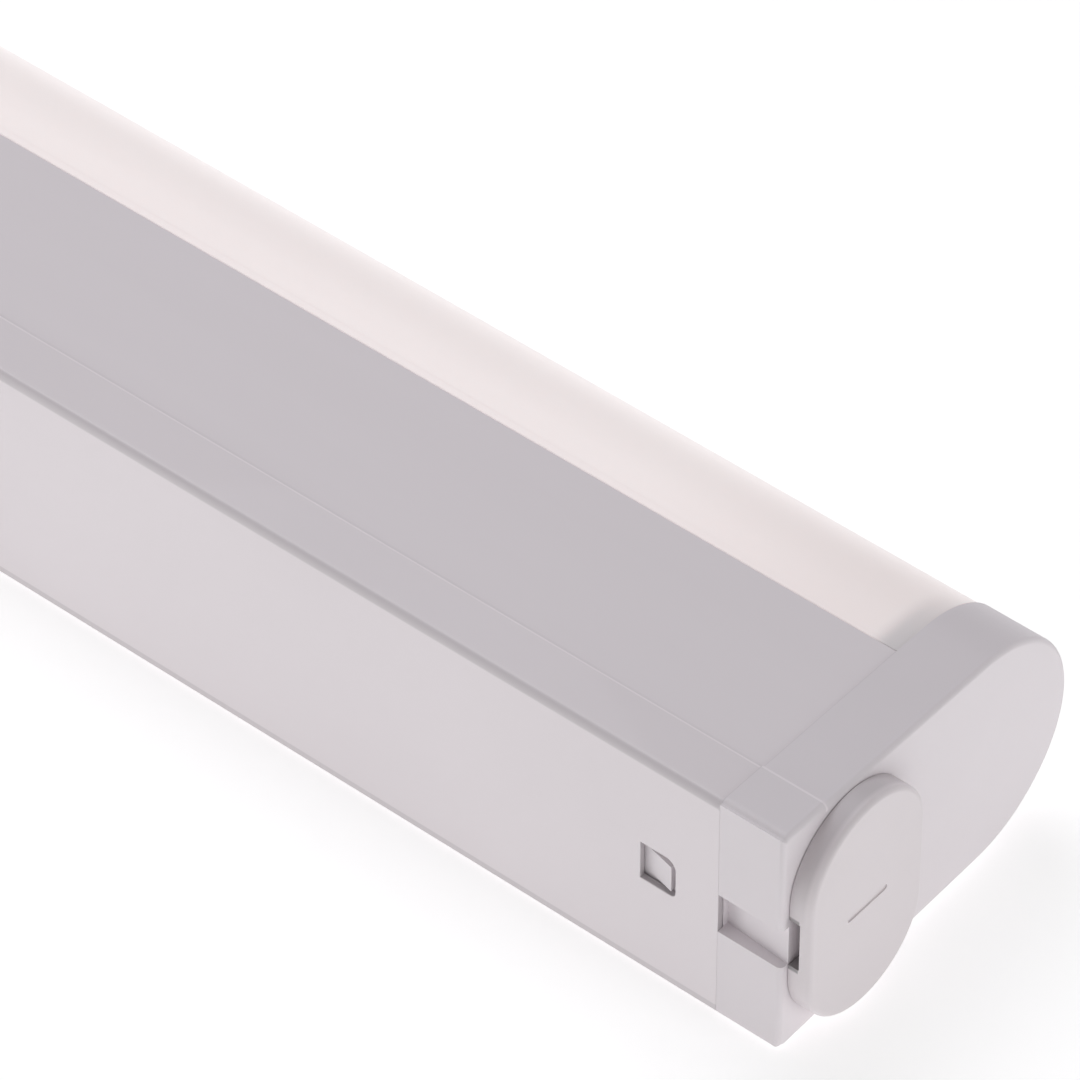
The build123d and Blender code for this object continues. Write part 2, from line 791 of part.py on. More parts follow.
with BuildPart() as led_connector:
    with BuildSketch(Plane.XZ.offset(led_board_front)):
        with Locations((lead_hole_x, 0)):
            Rectangle(led_connector_size[0], led_connector_size[1])
    extrude(amount=led_connector_size[2])
    chamfer(led_connector.faces().sort_by(Axis.Y)[0].edges(), block_chamfer)
    with BuildSketch(Plane.XZ.offset(led_board_front)):
        with Locations((lead_hole_x, led_wire_height), (lead_hole_x, -led_wire_height)):
            Circle(led_wire_radius)
    extrude(amount=led_connector_size[2] / 2, mode=Mode.SUBTRACT)
save(led_connector, "led_connector")

# ---------------------------------------------------------------- earth bond
earth_x = half_length - earth_from_end
nut_top = sheet + earth_nut_height
tag_top = nut_top + 2 * tag_thickness
head_seat = tag_top + tag_thickness

with BuildPart() as earth_nut:
    with BuildSketch(Plane.XZ.offset(sheet)):
        with Locations((earth_x, 0)):
            RegularPolygon(earth_nut_radius, 6)
    extrude(amount=earth_nut_height)
    with BuildSketch(Plane.XZ):
        with Locations((earth_x, 0)):
            Circle(earth_nut_shank_radius)
    extrude(amount=sheet)
    with BuildSketch(Plane.XZ.offset(sheet + earth_nut_height)):
        with Locations((earth_x, 0)):
            Circle(earth_screw_radius)
    extrude(amount=-earth_nut_height - earth_screw_tip_gap, mode=Mode.SUBTRACT)
save(earth_nut, "earth_nut")

with BuildPart() as earth_tags:
    for direction, tag_back in ((1, nut_top), (-1, nut_top + tag_thickness)):
        with BuildSketch(Plane.XZ.offset(tag_back)):
            with Locations((earth_x, 0)):
                Circle(tag_radius)
            with Locations((earth_x + direction * tag_radius, 0)):
                Rectangle(2 * tag_radius, 2 * tag_barrel_radius)
            with Locations((earth_x, 0)):
                Circle(earth_screw_radius + slide_gap, mode=Mode.SUBTRACT)
        extrude(amount=tag_thickness)
        barrel_plane = Plane(
            origin=(earth_x + direction * 2 * tag_radius, 0, 0),
            x_dir=(0, 1, 0),
            z_dir=(direction, 0, 0),
        )
        with BuildSketch(barrel_plane):
            with Locations((-tag_back - tag_barrel_radius, 0)):
                Circle(tag_barrel_radius)
        extrude(amount=tag_barrel_length)
        with BuildSketch(barrel_plane.offset(tag_barrel_length - wire_socket)):
            with Locations((-tag_back - tag_barrel_radius, 0)):
                Circle(mains_wire_radius)
        extrude(amount=wire_socket, mode=Mode.SUBTRACT)
save(earth_tags, "earth_tags")

with BuildPart() as earth_washer:
    with BuildSketch(Plane.XZ.offset(tag_top)):
        with Locations((earth_x, 0)):
            Circle(earth_screw_head_radius + washer_margin)
            Circle(earth_screw_radius + slide_gap, mode=Mode.SUBTRACT)
            with PolarLocations(earth_screw_head_radius + washer_margin, washer_teeth):
                Rectangle(washer_notch[0], washer_notch[1], mode=Mode.SUBTRACT)
    extrude(amount=tag_thickness)
save(earth_washer, "earth_washer")

with BuildPart() as earth_screw:
    with BuildSketch(Plane.XZ.offset(sheet)):
        with Locations((earth_x, 0)):
            Circle(earth_screw_radius)
    extrude(amount=head_seat - sheet)
    with BuildSketch(Plane.XZ.offset(head_seat)):
        with Locations((earth_x, 0)):
            Circle(earth_screw_head_radius)
    extrude(amount=earth_screw_head)
    fillet(earth_screw.faces().sort_by(Axis.Y)[0].edges(), earth_screw_head / 3)
    with BuildSketch(Plane.XZ.offset(head_seat + earth_screw_head)):
        with Locations((earth_x, 0)):
            Rectangle(earth_screw_cross[0], earth_screw_cross[1])
            Rectangle(earth_screw_cross[1], earth_screw_cross[0])
    extrude(amount=-earth_screw_head / 2, mode=Mode.SUBTRACT)
save(earth_screw, "earth_screw")


# ---------------------------------------------------------------- wires
def wire(height, radius, *route):
    """Insulated wire along (x, depth) points at one height, with rounded bends."""
    points = [(x, -depth, height) for x, depth in route]
    with BuildPart() as run:
        with BuildLine() as path:
            FilletPolyline(*points, radius=wire_bend)
        start = Plane(origin=path.line @ 0, z_dir=path.line % 0)
        with BuildSketch(start):
            Circle(radius)
        sweep()
    return run


terminal_right = terminal_x + terminal_size[0] / 2
terminal_left = terminal_x - terminal_size[0] / 2
for name, height in (("live", pin_pitch), ("neutral", -pin_pitch)):
    supply = wire(
        height,
        mains_wire_radius,
        (tail_x, socket_depth),
        (tail_x - tail_run, socket_depth),
        (tail_x - tail_run - climb, supply_wire_depth),
        (terminal_right - wire_socket, supply_wire_depth),
    )
    save(supply, f"{name}_supply_wire")
    link = wire(
        height,
        mains_wire_radius,
        (terminal_left + wire_socket, link_wire_depth),
        (terminal_left - terminal_run, link_wire_depth),
        (terminal_left - terminal_run - climb, wire_lane),
        (-tail_x + tail_run + climb, wire_lane),
        (-tail_x + tail_run, socket_depth),
        (-tail_x, socket_depth),
    )
    save(link, f"{name}_link_wire")

tag_reach = 2 * tag_radius + tag_barrel_length - wire_socket
supply_tag_depth = nut_top + tag_barrel_radius
link_tag_depth = nut_top + tag_thickness + tag_barrel_radius
earth_supply_wire = wire(
    0,
    mains_wire_radius,
    (tail_x, socket_depth),
    (tail_x - tail_run, socket_depth),
    (earth_x + tag_reach + tail_run, supply_tag_depth),
    (earth_x + tag_reach, supply_tag_depth),
)
save(earth_supply_wire, "earth_supply_wire")
earth_link_wire = wire(
    0,
    mains_wire_radius,
    (earth_x - tag_reach, link_tag_depth),
    (earth_x - tag_reach - tail_run, link_tag_depth),
    (earth_x - tag_reach - tail_run - climb, wire_lane),
    (-tail_x + tail_run + climb, wire_lane),
    (-tail_x + tail_run, socket_depth),
    (-tail_x, socket_depth),
)
save(earth_link_wire, "earth_link_wire")

header_left = header_x - header_size[0] / 2
for name, height in (("positive", led_wire_height), ("negative", -led_wire_height)):
    led_lead = wire(
        height,
        led_wire_radius,
        (header_left + wire_socket, led_wire_depth),
        (lead_hole_x, led_wire_depth),
        (lead_hole_x, led_board_front + led_connector_size[2] / 2),
    )
    save(led_lead, f"led_{name}_wire")
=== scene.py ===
"""Linkable wall light bar: finishes, fine edges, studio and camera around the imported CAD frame."""

import json
import math

import bmesh
import bpy
from mathutils import Matrix, Vector


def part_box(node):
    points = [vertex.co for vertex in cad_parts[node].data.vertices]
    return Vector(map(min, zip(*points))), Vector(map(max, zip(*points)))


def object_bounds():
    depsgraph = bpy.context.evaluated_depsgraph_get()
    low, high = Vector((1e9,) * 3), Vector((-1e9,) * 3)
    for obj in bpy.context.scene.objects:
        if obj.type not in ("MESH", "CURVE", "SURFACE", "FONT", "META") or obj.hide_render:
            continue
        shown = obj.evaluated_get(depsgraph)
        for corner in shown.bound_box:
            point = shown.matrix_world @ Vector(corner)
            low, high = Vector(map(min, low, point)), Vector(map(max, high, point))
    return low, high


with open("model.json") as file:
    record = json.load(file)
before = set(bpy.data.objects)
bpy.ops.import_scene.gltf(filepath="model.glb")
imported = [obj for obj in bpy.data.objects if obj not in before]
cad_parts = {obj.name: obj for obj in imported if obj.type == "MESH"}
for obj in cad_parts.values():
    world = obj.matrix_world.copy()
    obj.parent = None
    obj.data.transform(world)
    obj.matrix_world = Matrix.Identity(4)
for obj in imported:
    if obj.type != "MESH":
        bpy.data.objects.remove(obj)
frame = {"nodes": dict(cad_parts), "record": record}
cad_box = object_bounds()
nodes = frame["nodes"]

MM = 0.001

# camera
LENS_MM = 246.0
SENSOR_MM = 36.0
CAMERA_AZIMUTH = 220.0
CAMERA_ELEVATION = 44.7
CAMERA_ROLL = -0.23
CAMERA_DISTANCE = 0.6087
AIM_FROM_END = 0.04356
AIM_DEPTH = 0.02273
CLIP_START = 0.05

# studio
FLOOR_SIZE = 8.0
FLOOR_DROP = 0.0002
FLOOR_ALBEDO = 0.8
FLOOR_GLOW = 0.53
FLOOR_ROUGHNESS = 0.9
FLOOR_CLOUD = 3.0
FLOOR_CLOUD_TONE = 0.99
SKY = 0.25
# name: size in metres, power, place, aim and tint
LIGHTS = {
    "wall_side": (0.30, 0.392, (0.18, 0.30, 0.08), (-0.08, 0.0, 0.0), (1, 1, 1)),
    "end_side": (0.40, 0.762, (-0.70, -0.02, 0.20), (-0.15, -0.01, 0.0), (1, 1, 1)),
    "nose_side": (0.40, 1.270, (0.15, -0.15, 0.55), (-0.10, 0.0, 0.0), (1.01, 1, 1.05)),
}

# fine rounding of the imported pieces' edges
EDGE_ANGLE = math.radians(28)
FLAT_ANGLE = math.radians(0.2)
WELD_DISTANCE = 2e-6
EDGE_SEGMENTS = 2
NORMAL_WEIGHT = 100
EDGE_WIDTH = 0.05 * MM
EDGE_WIDTHS = {
    "base_channel": 0.09 * MM,
    "lamp_body": 0.06 * MM,
    "diffuser": 0.12 * MM,
    "end_cap_outlet": 0.10 * MM,
    "end_cap_inlet": 0.10 * MM,
    "blanking_cover": 0.10 * MM,
}

# colours
WHITE_COAT = (0.868, 0.809, 0.834)
BODY_WHITE = (0.880, 0.823, 0.848)
OPAL_WHITE = (0.958, 0.867, 0.856)
CAP_WHITE = (0.843, 0.790, 0.817)
COVER_WHITE = (0.801, 0.744, 0.763)
# painted shade over the spigots inside the diffuser's ends
SPIGOT_SHADE = (0.82, 0.775, 0.78)
# painted light: the diffuser's emission stands in for studio light passing through it from behind,
# dimmed under its painted shade
OPAL_PAINTED_LIGHT = (1.0, 0.93, 0.915)
OPAL_PAINTED_LIGHT_STRENGTH = 0.255
SHADED_PAINTED_LIGHT = 0.15
MASK_GREEN = (0.012, 0.085, 0.030)
TRACK_GREEN = (0.03, 0.16, 0.06)
MASK_WHITE = (0.80, 0.80, 0.78)
TRACK_WHITE = (0.72, 0.70, 0.64)
ENAMELLED_COPPER = (0.70, 0.26, 0.10)
EARTH_GREEN = (0.050, 0.30, 0.030)
EARTH_YELLOW = (0.78, 0.62, 0.03)

# painted shade on the diffuser toward its ends and along its joint with the body
SHADE_START = 2.9 * MM
SHADE_FULL = 1.1 * MM
SHADE_CROWN = 3.0 * MM
END_SHADE_LENGTH = 32.0 * MM
END_SHADE_TONE = 0.86
RIM_SHADE = 0.88

# squeezes that draw a texture out along the bar
LENGTHWISE = (0.05, 1, 1)
DRAWN = (0.04, 1, 1)

# where each painted highlight or painted shade along an edge or a joint starts, is full and fades,
# in metres
SIDE_START = 0.8 * MM
SIDE_FULL = 0.6 * MM
HIGHLIGHT_FRONT = 0.05 * MM
HIGHLIGHT_BACK = 0.16 * MM
HIGHLIGHT_SOFT = 0.06 * MM
BEND_REACH = 0.62 * MM
BEND_PAST = 0.2 * MM
BEND_SOFT = 0.14 * MM
BEND_START = 0.62 * MM
BEND_FULL = 0.45 * MM
JOINT_START = 0.20 * MM
JOINT_FULL = 0.08 * MM
CUT_HEIGHT = 8.0 * MM
CUT_FADED = 8.2 * MM
CUT_FULL = 0.10 * MM
CUT_START = 0.03 * MM
STEP_START = 0.45 * MM
STEP_FULL = 0.10 * MM
RIM_FRONT = 0.30 * MM
RIM_BACK = 0.22 * MM
RIM_SOFT = 0.04 * MM
WALL_START = 0.5 * MM
WALL_FULL = 0.9 * MM
WALL_SHADE_TOP = 0.7
SLOT_START = 1.06 * MM
SLOT_FULL = 1.0 * MM
SLOT_HEIGHT = 2.9 * MM
SLOT_FADED = 3.1 * MM
SLOT_FLOOR = 4.0 * MM
SLOT_FLOOR_FULL = 3.6 * MM

# range of a noise that clouding and grain use
CLOUD_LOW = 0.35
CLOUD_HIGH = 0.65
GRAIN_LOW = 0.3
GRAIN_HIGH = 0.7
DETAIL = 3.0
COARSE_DETAIL = 2.0

# satin surfaces
SPECKS_PER_METRE = 300.0
SPECK_SIZE = 0.05
SPECK_TONE = 0.78
SPECK_CHOICE = 0.01
GLOSS_SPREAD = 0.04
SATIN_SCATTER = (1.0, 0.9, 0.85)
SATIN_SCATTER_DEPTH = 1.5 * MM

# opal diffuser
STREAKS = 900.0
STREAK_DARK = 0.992
STREAK_LIGHT = 1.008
OPAL_GRAIN = 2600.0
OPAL_GRAIN_HEIGHT = 1.2e-6
OPAL_GLOSSY = 0.34
OPAL_DULL = 0.42
OPAL_SCATTER_SHARE = 0.35
OPAL_SCATTER = (1.0, 0.92, 0.9)
OPAL_SCATTER_DEPTH = 2.5 * MM
OPAL_IOR = 1.49

# striped insulation, circuit boards and wound copper
STRIPE_EDGE = 0.05 * MM
STRIPED_GRAIN = 2200.0
STRIPED_GRAIN_HEIGHT = 2e-6
STRIPED_GLOSSY = 0.3
STRIPED_DULL = 0.4
TRACKS_PER_METRE = 160.0
TRACK_WIDTH = 0.06
MASK_TONE = 0.85
TRACK_RISE = 2e-5
TRACK_RISE_STRENGTH = 0.6
BOARD_GRAIN = 1500.0
BOARD_GLOSSY = 0.28
BOARD_DULL = 0.4
TURNS_PER_METRE = 520.0
TURN_DISTORTION = 0.4
TURN_TONE = 0.6
TURN_HEIGHT = 1e-4
COPPER_ROUGHNESS = 0.3
ENAMEL = 0.5


# ---------------------------------------------------------------- node helpers
def link(tree, source, target):
    tree.links.new(source, target)


def coordinates(tree, stretch=(1, 1, 1)):
    """Object coordinates in metres, squeezed along an axis to draw a texture out along it."""
    place = tree.nodes.new("ShaderNodeTexCoord")
    mapping = tree.nodes.new("ShaderNodeMapping")
    mapping.inputs["Scale"].default_value = stretch
    link(tree, place.outputs["Object"], mapping.inputs["Vector"])
    return mapping.outputs["Vector"]


def noise(tree, vector, scale, detail=DETAIL):
    texture = tree.nodes.new("ShaderNodeTexNoise")
    texture.inputs["Scale"].default_value = scale
    texture.inputs["Detail"].default_value = detail
    link(tree, vector, texture.inputs["Vector"])
    return texture.outputs["Fac"]


def ranged(tree, value, low, high, to_low, to_high, smooth=False):
    """Value mapped from low..high to to_low..to_high and held there."""
    node = tree.nodes.new("ShaderNodeMapRange")
    node.interpolation_type = "SMOOTHSTEP" if smooth else "LINEAR"
    node.inputs["From Min"].default_value = low
    node.inputs["From Max"].default_value = high
    node.inputs["To Min"].default_value = to_low
    node.inputs["To Max"].default_value = to_high
    link(tree, value, node.inputs["Value"])
    return node.outputs["Result"]


def mixed(tree, factor, first, second):
    """Colour between two colours or colour outputs."""
    node = tree.nodes.new("ShaderNodeMix")
    node.data_type = "RGBA"
    link(tree, factor, node.inputs["Factor"])
    for socket, colour in ((node.inputs["A"], first), (node.inputs["B"], second)):
        if isinstance(colour, tuple):
            socket.default_value = (*colour, 1.0)
        else:
            link(tree, colour, socket)
    return node.outputs["Result"]


def times(tree, first, second):
    node = tree.nodes.new("ShaderNodeMath")
    node.operation = "MULTIPLY"
    link(tree, first, node.inputs[0])
    link(tree, second, node.inputs[1])
    return node.outputs["Value"]


def scaled(colour, factor):
    return tuple(min(1.0, channel * factor) for channel in colour)


def bump(tree, height, distance, strength=1.0):
    node = tree.nodes.new("ShaderNodeBump")
    node.inputs["Strength"].default_value = strength
    node.inputs["Distance"].default_value = distance
    link(tree, height, node.inputs["Height"])
    return node.outputs["Normal"]


def blank_material(name):
    """Principled material with nothing linked yet."""
    material = bpy.data.materials.new(name)
    material.use_nodes = True
    tree = material.node_tree
    return material, tree, tree.nodes["Principled BSDF"]


def position(tree):
    """The three object coordinates, in metres."""
    split = tree.nodes.new("ShaderNodeSeparateXYZ")
    link(tree, coordinates(tree), split.inputs["Vector"])
    return split.outputs["X"], split.outputs["Y"], split.outputs["Z"]


def absolute(tree, value):
    node = tree.nodes.new("ShaderNodeMath")
    node.operation = "ABSOLUTE"
    link(tree, value, node.inputs[0])
    return node.outputs["Value"]


def band(tree, value, low, high, soft):
    """Factor that is 1 between low and high and fades out over soft at both."""
    rising = ranged(tree, value, low - soft, low, 0.0, 1.0)
    falling = ranged(tree, value, high, high + soft, 1.0, 0.0)
    return times(tree, rising, falling)


def specks(tree, per_metre, size, share):
    """Factor that is 1 in a few sparse specks: one Voronoi cell in several holds one."""
    cells = tree.nodes.new("ShaderNodeTexVoronoi")
    cells.inputs["Scale"].default_value = per_metre
    link(tree, coordinates(tree), cells.inputs["Vector"])
    dot = ranged(tree, cells.outputs["Distance"], size / 2, size, 1.0, 0.0)
    split = tree.nodes.new("ShaderNodeSeparateColor")
    link(tree, cells.outputs["Color"], split.inputs["Color"])
    chosen = ranged(tree, split.outputs["Red"], 1 - share, 1 - share + SPECK_CHOICE, 0.0, 1.0)
    return times(tree, dot, chosen)


# ---------------------------------------------------------------- finishes
def satin(
    name,
    colour,
    roughness,
    grain,
    grain_height,
    cloud,
    cloud_depth,
    stretch=(1, 1, 1),
    speck_share=0.0,
    coat=0.0,
    subsurface=0.0,
    metallic=0.0,
    tones=(),
):
    """Moulded, extruded or coated surface: faint clouding, fine grain and gloss that varies.

    Each of tones is a mask and a factor on the colour where the mask is 1: a painted highlight or
    painted shade along an edge or a joint.
    """
    material, tree, shader = blank_material(name)
    broad = noise(tree, coordinates(tree, stretch), cloud)
    lighter = scaled(colour, 1 + cloud_depth)
    darker = scaled(colour, 1 - cloud_depth)
    clouding = ranged(tree, broad, CLOUD_LOW, CLOUD_HIGH, 0.0, 1.0)
    base = mixed(tree, clouding, darker, lighter)
    if speck_share:
        dots = specks(tree, SPECKS_PER_METRE, SPECK_SIZE, speck_share)
        base = mixed(tree, dots, base, scaled(colour, SPECK_TONE))
    for mask, factor in tones:
        base = mixed(tree, mask(tree), base, scaled(colour, factor))
    link(tree, base, shader.inputs["Base Color"])
    fine = noise(tree, coordinates(tree, stretch), grain)
    glossy, dull = roughness - GLOSS_SPREAD, roughness + GLOSS_SPREAD
    gloss = ranged(tree, fine, GRAIN_LOW, GRAIN_HIGH, glossy, dull)
    link(tree, gloss, shader.inputs["Roughness"])
    link(tree, bump(tree, fine, grain_height), shader.inputs["Normal"])
    shader.inputs["Metallic"].default_value = metallic
    shader.inputs["Coat Weight"].default_value = coat
    shader.inputs["Subsurface Weight"].default_value = subsurface
    shader.inputs["Subsurface Radius"].default_value = SATIN_SCATTER
    shader.inputs["Subsurface Scale"].default_value = SATIN_SCATTER_DEPTH
    return material


def opal(name, colour):
    """Opal diffuser: milky, faintly drawn along its length, with painted shade over the spigots at
    its ends, painted darkening toward its ends and along its joint with the body, and a painted
    glow.
    """
    material, tree, shader = blank_material(name)
    along = coordinates(tree, DRAWN)
    streaks = noise(tree, along, STREAKS, COARSE_DETAIL)
    streaking = ranged(tree, streaks, CLOUD_LOW, CLOUD_HIGH, 0.0, 1.0)
    body = mixed(tree, streaking, scaled(colour, STREAK_DARK), scaled(colour, STREAK_LIGHT))
    along_bar, depth, _ = position(tree)
    away = absolute(tree, along_bar)
    low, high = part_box("diffuser")
    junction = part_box("lamp_body")[0].y
    # painted shade where the spigots sit inside the diffuser's ends, fading toward the crown
    start, full = high.x - SHADE_START, high.x - SHADE_FULL
    at_end = ranged(tree, away, start, full, 0.0, 1.0, smooth=True)
    by_body = ranged(tree, depth, low.y + SHADE_CROWN, junction, 0.0, 1.0, smooth=True)
    shade = times(tree, at_end, by_body)
    # painted shade: the diffuser darkens over its last stretch toward each end
    end_shade = ranged(tree, away, high.x - END_SHADE_LENGTH, high.x, 0.0, 1.0, smooth=True)
    base = mixed(tree, end_shade, body, scaled(colour, END_SHADE_TONE))
    # painted shade in a fine band along the diffuser's joint with the body
    rim = band(tree, depth, junction - RIM_FRONT, junction - RIM_BACK, RIM_SOFT)
    base = mixed(tree, rim, base, scaled(colour, RIM_SHADE))
    base = mixed(tree, shade, base, SPIGOT_SHADE)
    link(tree, base, shader.inputs["Base Color"])
    # painted light: an emission that stands in for light passing through the diffuser from behind,
    # dimmed where the painted shade over the spigots lies
    shader.inputs["Emission Color"].default_value = (*OPAL_PAINTED_LIGHT, 1.0)
    dimmed = OPAL_PAINTED_LIGHT_STRENGTH * SHADED_PAINTED_LIGHT
    glow = ranged(tree, shade, 0.0, 1.0, OPAL_PAINTED_LIGHT_STRENGTH, dimmed)
    link(tree, glow, shader.inputs["Emission Strength"])
    fine = noise(tree, along, OPAL_GRAIN)
    gloss = ranged(tree, fine, GRAIN_LOW, GRAIN_HIGH, OPAL_GLOSSY, OPAL_DULL)
    link(tree, gloss, shader.inputs["Roughness"])
    link(tree, bump(tree, fine, OPAL_GRAIN_HEIGHT), shader.inputs["Normal"])
    shader.inputs["Subsurface Weight"].default_value = OPAL_SCATTER_SHARE
    shader.inputs["Subsurface Radius"].default_value = OPAL_SCATTER
    shader.inputs["Subsurface Scale"].default_value = OPAL_SCATTER_DEPTH
    shader.inputs["IOR"].default_value = OPAL_IOR
    return material


# ---------------------------------------------------------------- painted highlights and shade along edges and joints
def on_side(tree, height):
    """Factor that is 1 on the upper and lower sides only."""
    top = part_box("base_channel")[1].z
    return ranged(tree, absolute(tree, height), top - SIDE_START, top - SIDE_FULL, 0.0, 1.0)


def flange_edge_highlight(tree):
    """Painted highlight on the edge of the step between flange and body, and of the caps' step."""
    _, depth, height = position(tree)
    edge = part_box("base_channel")[0].y
    highlight = band(tree, depth, edge - HIGHLIGHT_FRONT, edge + HIGHLIGHT_BACK, HIGHLIGHT_SOFT)
    return times(tree, highlight, on_side(tree, height))


def bend_shade(tree):
    """Painted shade: a greyer line round the bend between back and flange."""
    _, depth, height = position(tree)
    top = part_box("base_channel")[1].z
    corner = tree.nodes.new("ShaderNodeMath")
    corner.operation = "ADD"
    link(tree, absolute(tree, height), corner.inputs[0])
    link(tree, depth, corner.inputs[1])
    reach = corner.outputs["Value"]
    round_bend = band(tree, reach, top - BEND_REACH, top + BEND_PAST, BEND_SOFT)
    return times(tree, round_bend, ranged(tree, depth, -BEND_START, -BEND_FULL, 0.0, 1.0))


def body_end_shade(tree):
    """Painted shade at the ends of channel and body, in the joint against the caps."""
    along_bar, _, _ = position(tree)
    away = absolute(tree, along_bar)
    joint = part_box("lamp_body")[1].x
    return ranged(tree, away, joint - JOINT_START, joint - JOINT_FULL, 0.0, 1.0)


def shell_end_shade(tree):
    """The same painted shade, on the channel's sides only."""
    _, _, height = position(tree)
    return times(tree, body_end_shade(tree), on_side(tree, height))


def cover_wall_shade(tree):
    """Painted shade on the upper part of the cover's side wall, in the lee of its rim."""
    along_bar, _, height = position(tree)
    low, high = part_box("blanking_cover")
    wall = ranged(tree, along_bar, low.x + WALL_START, low.x + WALL_FULL, 0.0, 1.0)
    upper = ranged(tree, height, 0.0, WALL_SHADE_TOP * high.z, 0.0, 1.0, smooth=True)
    return times(tree, wall, upper)


def pry_slot_shade(tree):
    """Painted shade on the walls of the cover's pry slot."""
    along_bar, depth, height = position(tree)
    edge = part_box("blanking_cover")[1].y
    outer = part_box("end_cap_outlet")[0].x
    inside = ranged(tree, along_bar, outer - SLOT_START, outer - SLOT_FULL, 0.0, 1.0)
    middle = ranged(tree, absolute(tree, height), SLOT_HEIGHT, SLOT_FADED, 1.0, 0.0)
    rim = ranged(tree, depth, edge - SLOT_FLOOR, edge - SLOT_FLOOR_FULL, 0.0, 1.0)
    return times(tree, times(tree, inside, middle), rim)


def cut_edge_shade(tree):
    """Painted shade on the punched edges of the windows and keyholes through the sheet."""
    _, depth, height = position(tree)
    inner = ranged(tree, absolute(tree, height), CUT_HEIGHT, CUT_FADED, 1.0, 0.0)
    return times(tree, ranged(tree, depth, -CUT_FULL, -CUT_START, 1.0, 0.0), inner)


def step_shade(tree):
    """Painted shade on the body just in front of the flanges' edges."""
    _, depth, _ = position(tree)
    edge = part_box("base_channel")[0].y
    return ranged(tree, depth, edge - STEP_START, edge - STEP_FULL, 0.0, 1.0)


def striped(name, first, second):
    """Two-coloured wire insulation with lengthwise stripes."""
    material, tree, shader = blank_material(name)
    _, _, height = position(tree)
    stripe = ranged(tree, height, -STRIPE_EDGE, STRIPE_EDGE, 0.0, 1.0)
    link(tree, mixed(tree, stripe, first, second), shader.inputs["Base Color"])
    fine = noise(tree, coordinates(tree), STRIPED_GRAIN, COARSE_DETAIL)
    gloss = ranged(tree, fine, GRAIN_LOW, GRAIN_HIGH, STRIPED_GLOSSY, STRIPED_DULL)
    link(tree, gloss, shader.inputs["Roughness"])
    link(tree, bump(tree, fine, STRIPED_GRAIN_HEIGHT), shader.inputs["Normal"])
    return material


def tracked_board(name, mask, track):
    """Solder mask with faintly lighter copper runs under it."""
    material, tree, shader = blank_material(name)
    runs = tree.nodes.new("ShaderNodeTexBrick")
    runs.inputs["Scale"].default_value = TRACKS_PER_METRE
    runs.inputs["Mortar Size"].default_value = TRACK_WIDTH
    runs.inputs["Color1"].default_value = (*mask, 1)
    runs.inputs["Color2"].default_value = (*scaled(mask, MASK_TONE), 1)
    runs.inputs["Mortar"].default_value = (*track, 1)
    turn = tree.nodes.new("ShaderNodeMapping")
    turn.inputs["Rotation"].default_value = (math.radians(90), 0, 0)
    link(tree, coordinates(tree), turn.inputs["Vector"])
    link(tree, turn.outputs["Vector"], runs.inputs["Vector"])
    link(tree, runs.outputs["Color"], shader.inputs["Base Color"])
    fine = noise(tree, coordinates(tree), BOARD_GRAIN, COARSE_DETAIL)
    gloss = ranged(tree, fine, GRAIN_LOW, GRAIN_HIGH, BOARD_GLOSSY, BOARD_DULL)
    link(tree, gloss, shader.inputs["Roughness"])
    raised = bump(tree, runs.outputs["Fac"], TRACK_RISE, TRACK_RISE_STRENGTH)
    link(tree, raised, shader.inputs["Normal"])
    return material


def wound_copper(name, colour):
    """Enamelled wire wound round an upright core: fine rings one above the other."""
    material, tree, shader = blank_material(name)
    rings = tree.nodes.new("ShaderNodeTexWave")
    rings.bands_direction = "Y"
    rings.inputs["Scale"].default_value = TURNS_PER_METRE
    rings.inputs["Distortion"].default_value = TURN_DISTORTION
    link(tree, coordinates(tree), rings.inputs["Vector"])
    base = mixed(tree, rings.outputs["Fac"], scaled(colour, TURN_TONE), colour)
    link(tree, base, shader.inputs["Base Color"])
    link(tree, bump(tree, rings.outputs["Fac"], TURN_HEIGHT), shader.inputs["Normal"])
    shader.inputs["Metallic"].default_value = 1.0
    shader.inputs["Roughness"].default_value = COPPER_ROUGHNESS
    shader.inputs["Coat Weight"].default_value = ENAMEL
    return material


